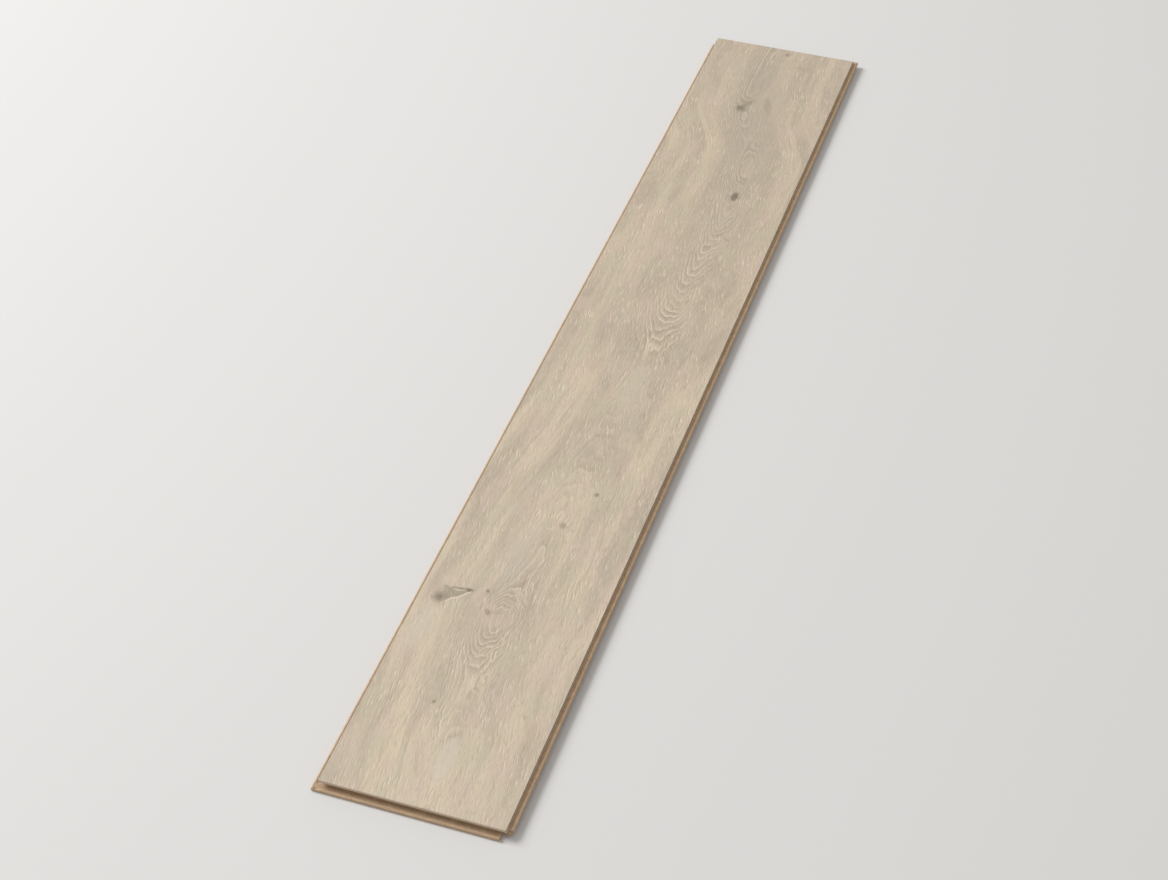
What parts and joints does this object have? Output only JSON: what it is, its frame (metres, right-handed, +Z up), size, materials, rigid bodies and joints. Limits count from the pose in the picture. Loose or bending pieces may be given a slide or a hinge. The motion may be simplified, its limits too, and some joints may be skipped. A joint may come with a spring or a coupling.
{
  "type": "laminate floor plank",
  "caption": "Laminate floor plank: printed pale oak face on a fibreboard core, with a click-joint groove on two adjoining edges and a tongue on the other two.",
  "frame": {"origin": "middle of the underside, on the surface that the plank lies on", "axes": "+Z up through the decor face, +Y along the plank towards the tongue end, +X across it towards the tongue edge"},
  "size_m": [0.2038, 1.3908, 0.012],
  "materials": {
    "oak_laminate": "matt printed oak decor with a fine brushed-grain emboss; bare brown fibreboard on the milled edges"
  },
  "bodies": {
    "root": {"laminate_plank": "oak_laminate"}
  },
  "joints": []
}
